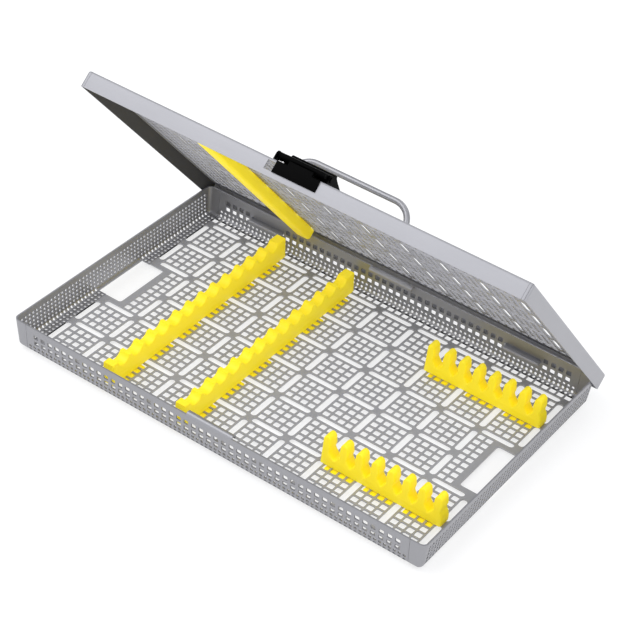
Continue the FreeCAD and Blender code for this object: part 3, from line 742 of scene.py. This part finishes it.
def long_bar(x):
    """A long bar with its feet, at the given place along the tray."""
    def taper(outline):
        return (bar_width + (bar_top_width - bar_width) * outline[:, 1] / bar_height) / 2

    body = soft_block(bar_outline(), taper, 0.7, lambda ring, away: np.column_stack(
        [x + away, ring[:, 0] + tray_y, floor_top + ring[:, 1]]))
    places = [(x, y + tray_y) for y in lines_y[:-1] + cell / 2]
    return join([body, *feet(places, False, (0.0, floor_low.z), (0.8, floor_top + 0.3))])


def silicone(name, colour):
    """Soft silicone rubber: saturated and slightly translucent, with a dull skin and a painted glow in its
    own colour.
    """
    material = bpy.data.materials.new(name)
    material.use_nodes = True
    nodes, links = material.node_tree.nodes, material.node_tree.links
    shader = nodes["Principled BSDF"]
    # Painted light: the rubber glows at 0.27 of its own colour, though it is no lamp, to lift its shaded
    # sides.
    shader.inputs["Emission Color"].default_value = (*colour, 1)
    shader.inputs["Emission Strength"].default_value = 0.27
    shader.inputs["Subsurface Weight"].default_value = 0.25
    shader.inputs["Subsurface Scale"].default_value = 0.003
    shader.inputs["Subsurface Radius"].default_value = (1.0, 0.8, 0.2)
    where = nodes.new("ShaderNodeTexCoord")
    clouds = nodes.new("ShaderNodeTexNoise")
    clouds.inputs["Scale"].default_value = 90.0
    clouds.inputs["Detail"].default_value = 5.0
    links.new(where.outputs["Object"], clouds.inputs["Vector"])
    shade = nodes.new("ShaderNodeMix")
    shade.data_type = "RGBA"
    shade.inputs["A"].default_value = (*[c * 0.94 for c in colour], 1)
    shade.inputs["B"].default_value = (*colour, 1)
    links.new(clouds.outputs["Fac"], shade.inputs["Factor"])
    links.new(shade.outputs["Result"], shader.inputs["Base Color"])
    rough = nodes.new("ShaderNodeMapRange")
    rough.inputs["To Min"].default_value = 0.42
    rough.inputs["To Max"].default_value = 0.58
    links.new(clouds.outputs["Fac"], rough.inputs["Value"])
    links.new(rough.outputs["Result"], shader.inputs["Roughness"])
    bump = nodes.new("ShaderNodeBump")
    bump.inputs["Strength"].default_value = 0.12
    bump.inputs["Distance"].default_value = 0.0001
    links.new(clouds.outputs["Fac"], bump.inputs["Height"])
    links.new(bump.outputs["Normal"], shader.inputs["Normal"])
    return material


yellow = silicone("yellow_silicone_painted_glow", (0.92, 0.74, 0.012))
for node in ("long_bar_left", "long_bar_right"):
    low, high = (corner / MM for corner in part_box(node))
    add_mesh(node + "_moulded", long_bar((low.x + high.x) / 2), yellow, "tray", [node],
             moulded_sharp)

# Short silicone bars: combs of eight fingers on a low base, one near the rear wall and one near the
# front wall. Each finger bulges at its shoulders and ends in a round tip.

comb_length = 76.0
comb_height = 19.0
comb_pitch = 9.8
comb_fingers = 8
comb_width = 8.0
first_finger = 2.3
second_finger = 13.3
comb_valley = 5.4
# Half widths of a finger at heights over the floor, from the valley beside it to its round tip
finger_shape = ((5.4, 4.7), (6.6, 3.9), (7.9, 2.9), (9.3, 2.15), (10.6, 2.2), (12.0, 2.6), (13.4, 2.65),
                (14.8, 2.35), (15.9, 2.3), (16.9, 2.2), (17.8, 1.8), (18.5, 1.2), (18.9, 0.55))


def comb_outline():
    """Side view of a comb bar as (x, z), anticlockwise from its lower left corner. The fingers at the
    ends are cut off just inside the base, and no two points coincide."""
    points = [(0.0, 0.0), (comb_length - 0.8, 0.0), (comb_length, 0.8), (comb_length, comb_valley - 0.6)]
    middles = [first_finger, *[second_finger + comb_pitch * n for n in range(comb_fingers - 1)]]
    for middle in middles[::-1]:
        right = [(middle + half, height) for height, half in finger_shape]
        left = [(2 * middle - u, v) for u, v in right[::-1]]
        points += [(min(u, comb_length - 0.4), v) for u, v in right] + [(middle, comb_height)]
        points += [(max(u, 0.25 - 0.02 * number), v) for number, (u, v) in enumerate(left)]
    return points


def comb_bar(x, y):
    """A comb bar with its feet."""
    def taper(outline):
        return (comb_width + (bar_top_width - comb_width) * outline[:, 1] / comb_height) / 2

    body = soft_block(comb_outline(), taper, 0.7, lambda ring, away: np.column_stack(
        [x + ring[:, 0], y - away, floor_top + ring[:, 1]]))
    places = [(middle, y) for middle in lines_x[:-1] + cell / 2
              if x < middle - foot[0] / 2 < x + comb_length]
    return join([body, *feet(places, True, (0.0, floor_low.z), (0.8, floor_top + 0.3))])


for node in ("short_bar_rear", "short_bar_front"):
    low, high = (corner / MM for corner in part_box(node))
    add_mesh(node + "_moulded", comb_bar(low.x, (low.y + high.y) / 2), yellow, "tray", [node],
             moulded_sharp)

# Lid bar: a plain yellow bar under the lid, held by feet on the lid's outer side.

lid_bar_x = -62.5
lid_bar_size = (10.0, 7.0, 156.0)


def lid_bar():
    """The bar with round edges and its row of feet."""
    width, depth, length = lid_bar_size
    section = rounded_outline(width, depth, 1.6)
    body = soft_block(section, length / 2, 0.8, lambda ring, away: np.column_stack(
        [lid_bar_x + ring[:, 0], tray_y + away, lid_top - sheet - depth / 2 - ring[:, 1]]))
    places = [(lid_bar_x, y + tray_y) for y in lines_y[:-1] + cell / 2]
    pads, stems = (lid_top, lid_top + foot[2]), (lid_top - sheet - 0.3, lid_top + 0.8)
    return join([body, *feet(places, False, pads, stems)])


add_mesh("lid_bar_moulded", swung(lid_bar()), yellow, "lid", ["lid_bar"], moulded_sharp)

# Latch: a black moulded lever with two thumb ribs, which rocks on a blackened pin in a bracket, with
# a spring and a steel hook, and the black plate over the window of the lid's front flange.


def black_plastic(name):
    """Black moulded plastic with a fine matt grain."""
    material = bpy.data.materials.new(name)
    material.use_nodes = True
    nodes, links = material.node_tree.nodes, material.node_tree.links
    shader = nodes["Principled BSDF"]
    shader.inputs["Base Color"].default_value = (0.001, 0.001, 0.0011, 1)
    shader.inputs["Specular IOR Level"].default_value = 0.03
    where = nodes.new("ShaderNodeTexCoord")
    grain = nodes.new("ShaderNodeTexNoise")
    grain.inputs["Scale"].default_value = 1800.0
    links.new(where.outputs["Object"], grain.inputs["Vector"])
    rough = nodes.new("ShaderNodeMapRange")
    rough.inputs["To Min"].default_value = 0.38
    rough.inputs["To Max"].default_value = 0.55
    links.new(grain.outputs["Fac"], rough.inputs["Value"])
    links.new(rough.outputs["Result"], shader.inputs["Roughness"])
    bump = nodes.new("ShaderNodeBump")
    bump.inputs["Strength"].default_value = 0.2
    bump.inputs["Distance"].default_value = 0.00005
    links.new(grain.outputs["Fac"], bump.inputs["Height"])
    links.new(bump.outputs["Normal"], shader.inputs["Normal"])
    return material


latch_half = 13.5
pin_y = lid_front + 7.0
pin_z = lid_top + 3.6
bore = 1.05
# Arcs of the lever's side view round the pin: middle (y, z), radius, first and last angle
lever_arcs = (((0.0, 0.0), 2.3, 270, 205), ((-4.9, -0.1), 1.5, 255, 60), ((0.0, 0.0), 2.3, 130, 75),
              ((5.4, 2.7), 1.6, 175, 20))
lever_tail = ((9.4, 2.2), (21.9, -1.5), (21.9, -2.3))
plate_proud = 0.85
plate_rise = 2.1
plate_low = 6.7
plate_ends = (6.5, 5.5)
plate_play = 0.1
plate_gap = 0.05


def lever():
    """The lever's side view with its bore, stretched to both sides."""
    outline = [(y + radius * math.cos(math.radians(a)), z + radius * math.sin(math.radians(a)))
               for (y, z), radius, first, last in lever_arcs for a in np.linspace(first, last, 10)]
    flat, faces = filled([outline + list(lever_tail), round_hole(bore, 20)])
    middle = np.column_stack([np.zeros(len(flat)), pin_y + flat[:, 0], pin_z + flat[:, 1]])
    return thicken(middle, np.tile([1.0, 0.0, 0.0], (len(flat), 1)), faces, 2 * latch_half)


def latch_plate():
    """The plate in the window, drawn from the front: it rises over the lid's edge in the middle and
    stays below it near its ends. Its back fills the window."""
    low, edge, high = lid_top - plate_low, lid_top - 0.3, lid_top + plate_rise
    left, right = plate_ends[0] - latch_half, latch_half - plate_ends[1]
    end = latch_half - plate_play
    face = [(-end, low), (end, low), (end, edge), (right, edge), (right, high), (left, high), (left, edge),
            (-end, edge)]
    half = (plate_proud - plate_gap) / 2
    front = soft_block(face, half, 0.25, lambda ring, away: np.column_stack(
        [ring[:, 0], lid_front - plate_gap - half + away, ring[:, 1]]))
    inner = [(u, v + lid_top - 4.1) for u, v in rectangle(2 * end, 4.4)]
    back = soft_block(inner, 0.5, 0.1, lambda ring, away: np.column_stack(
        [ring[:, 0], lid_front + 0.4 + away, ring[:, 1]]))
    return join([front, back])


black = black_plastic("black_plastic")
add_mesh("latch_lever_moulded", swung(lever()), black, "latch", ["latch_lever"])
add_mesh("latch_plate_moulded", swung(latch_plate()), black, "lid", ["latch_plate"])
# The nodes that come from the CAD as they are
for node, material in (("latch_bracket", black), ("latch_hook", steel_lid), ("latch_pin", black),
                       ("latch_spring", black), ("hinge_tongue_left", steel_lid),
                       ("hinge_tongue_right", steel_lid)):
    mesh = frame["nodes"][node].data
    mesh.materials.clear()
    mesh.materials.append(material)

# Studio: a plain white floor under the tray, soft light from above and a surround that is brighter
# in front of the tray than behind it.

bpy.ops.mesh.primitive_plane_add(size=12)
studio_floor = bpy.context.object
studio_floor.name = "studio_floor"
studio_floor.location.z = -0.0002
paper = bpy.data.materials.new("paper")
paper.use_nodes = True
paper_shader = paper.node_tree.nodes["Principled BSDF"]
paper_shader.inputs["Base Color"].default_value = (0.42, 0.42, 0.42, 1)
paper_shader.inputs["Roughness"].default_value = 0.9
paper_shader.inputs["Emission Color"].default_value = (1, 1, 1, 1)
paper_shader.inputs["Emission Strength"].default_value = 0.62
studio_floor.data.materials.append(paper)

world = bpy.data.worlds.new("surround")
bpy.context.scene.world = world
bpy.context.scene.view_settings.view_transform = "Standard"
world.use_nodes = True
sky = world.node_tree.nodes["Background"]
sky.inputs["Color"].default_value = (0.96, 0.97, 1.0, 1)
facing = world.node_tree.nodes.new("ShaderNodeTexCoord")
direction = world.node_tree.nodes.new("ShaderNodeSeparateXYZ")
fading = world.node_tree.nodes.new("ShaderNodeMapRange")
fading.inputs["From Min"].default_value = -1.0
fading.inputs["To Min"].default_value = 1.15
fading.inputs["To Max"].default_value = 0.5
world.node_tree.links.new(facing.outputs["Generated"], direction.inputs["Vector"])
world.node_tree.links.new(direction.outputs["Y"], fading.inputs["Value"])
world.node_tree.links.new(fading.outputs["Result"], sky.inputs["Strength"])


def soft_light(name, place, size, power):
    """A large area light that faces the middle of the tray."""
    lamp = bpy.data.lights.new(name, "AREA")
    lamp.size = size
    lamp.energy = power
    made = bpy.data.objects.new(name, lamp)
    bpy.context.scene.collection.objects.link(made)
    made.location = place
    made.rotation_euler = made.location.to_track_quat("Z", "Y").to_euler()


soft_light("key_light", (-0.8, -0.6, 1.6), 1.2, 9)
soft_light("fill_light", (1.5, -0.4, 1.2), 1.4, 7)
soft_light("rear_light", (0.1, 1.6, 1.4), 1.2, 5)

# Camera: a long lens from the right, in front and above, as in the photograph.

camera_data = bpy.data.cameras.new("camera")
camera_data.sensor_width = 36.0
camera_data.lens = 109.44
camera_data.shift_x = -0.0443
camera_data.shift_y = 0.1191
camera_data.clip_end = 20.0
camera = bpy.data.objects.new("camera", camera_data)
bpy.context.scene.collection.objects.link(camera)
camera.matrix_world = Matrix(((0.81353770, -0.43080065, 0.39059853, 0.433217),
                              (0.57434101, 0.49009725, -0.65569588, -0.689878),
                              (0.09104295, 0.75777008, 0.64613907, 0.681228),
                              (0.0, 0.0, 0.0, 1.0)))
bpy.context.scene.camera = camera
